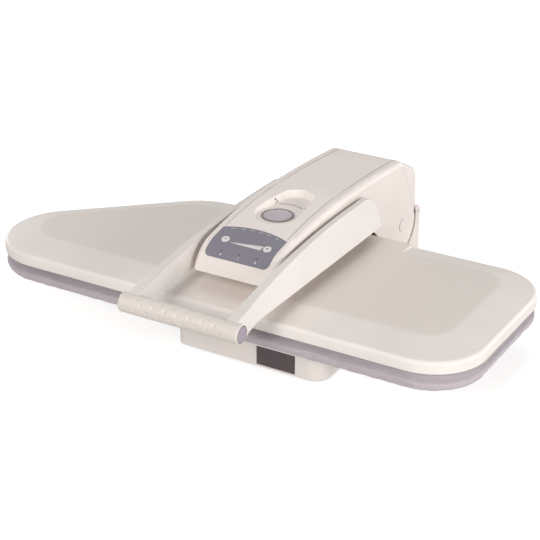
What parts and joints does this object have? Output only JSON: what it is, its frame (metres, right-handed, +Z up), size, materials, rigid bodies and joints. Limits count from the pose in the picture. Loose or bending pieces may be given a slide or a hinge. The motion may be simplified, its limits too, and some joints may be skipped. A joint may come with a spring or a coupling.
{
  "type": "steam ironing press",
  "caption": "Tabletop steam ironing press: padded tapered board on a base, hinged heated press head with a domed cover, lever handle, control panel and push button for steam.",
  "frame": {"origin": "on the table under the middle of the whole machine", "axes": "+X to the right along the board, +Y to the hinge at the back, +Z up"},
  "size_m": [1.03, 0.7904, 0.2804],
  "materials": {
    "base_plastic": "satin moulded",
    "cover_plastic": "satin moulded",
    "head_plastic": "satin moulded",
    "arm_plastic": "satin moulded",
    "grip_plastic": "moulded with shallow dimples",
    "cap_plastic": "satin moulded",
    "panel_plastic": "printed film",
    "button_plastic": "moulded dome",
    "key_plastic": "moulded",
    "bezel_plastic": "moulded",
    "lens_plastic": "clear moulded",
    "black_plastic": "moulded",
    "bush_plastic": "machined",
    "tank_plastic": "blow moulded",
    "circuit_laminate": "glass fibre laminate",
    "board_cloth": "woven cotton",
    "foam": "open cell foam",
    "mat_fibre": "needled fibre",
    "rubber": "moulded",
    "plate_aluminium": "cast and coated",
    "bright_steel": "ground",
    "zinc_steel": "zinc plated",
    "painted_steel": "powder coat",
    "brass_pipe": "drawn"
  },
  "bodies": {
    "base": {"base_housing": "base_plastic", "base_plate": "zinc_steel", "feet": "rubber", "base_screws": "zinc_steel", "board_pan": "painted_steel", "board_foam": "foam", "board_cover": "board_cloth", "hinge_tower": "base_plastic", "hinge_bracket": "painted_steel", "hinge_shaft": "bright_steel", "shaft_clips": "zinc_steel", "lift_springs": "bright_steel", "mains_inlet": "black_plastic"},
    "head": {"press_cover": "cover_plastic", "heating_plate": "plate_aluminium", "heating_element": "bright_steel", "steam_chamber": "plate_aluminium", "insulation_mat": "mat_fibre", "thermostat": "zinc_steel", "plate_hanger": "plate_aluminium", "hanger_boot": "rubber", "head_frame": "painted_steel", "hinge_bushes": "bush_plastic", "handle_bushes": "bush_plastic", "head_shell": "head_plastic", "head_top_panel": "head_plastic", "head_rear_cover": "head_plastic", "control_panel": "panel_plastic", "control_board": "circuit_laminate", "indicator_lenses": "lens_plastic", "steam_button_bezel": "bezel_plastic", "steam_switch": "black_plastic", "water_tank": "tank_plastic", "pump": "black_plastic", "steam_pipe": "brass_pipe", "pivot_caps": "head_plastic"},
    "handle": {"handle_arm_left": "arm_plastic", "handle_arm_right": "arm_plastic", "handle_grip": "grip_plastic", "grip_end_caps": "cap_plastic", "handle_shaft": "bright_steel"},
    "steam_key": {"steam_button": "button_plastic"},
    "cooler_key": {"cooler_button": "key_plastic"},
    "hotter_key": {"hotter_button": "key_plastic"}
  },
  "joints": [
    {"name": "head_hinge", "type": "hinge", "parent": "base", "child": "head", "pos_m": [0.05, 0.31325, 0.128], "axis": [-1, 0, 0], "range_deg": [0, 27]},
    {"name": "handle_hinge", "type": "hinge", "parent": "head", "child": "handle", "pos_m": [0.05, 0.088, 0.219], "axis": [-1, 0, 0], "range_deg": [0, 20]},
    {"name": "steam_push", "type": "slide", "parent": "head", "child": "steam_key", "axis": [0, 0, -1], "range_m": [0, 0.0025], "stiffness_N_per_m": 800},
    {"name": "cooler_push", "type": "slide", "parent": "head", "child": "cooler_key", "axis": [0, 0.2521, -0.9677], "range_m": [0, 0.001], "stiffness_N_per_m": 500},
    {"name": "hotter_push", "type": "slide", "parent": "head", "child": "hotter_key", "axis": [0, 0.2521, -0.9677], "range_m": [0, 0.001], "stiffness_N_per_m": 500}
  ]
}
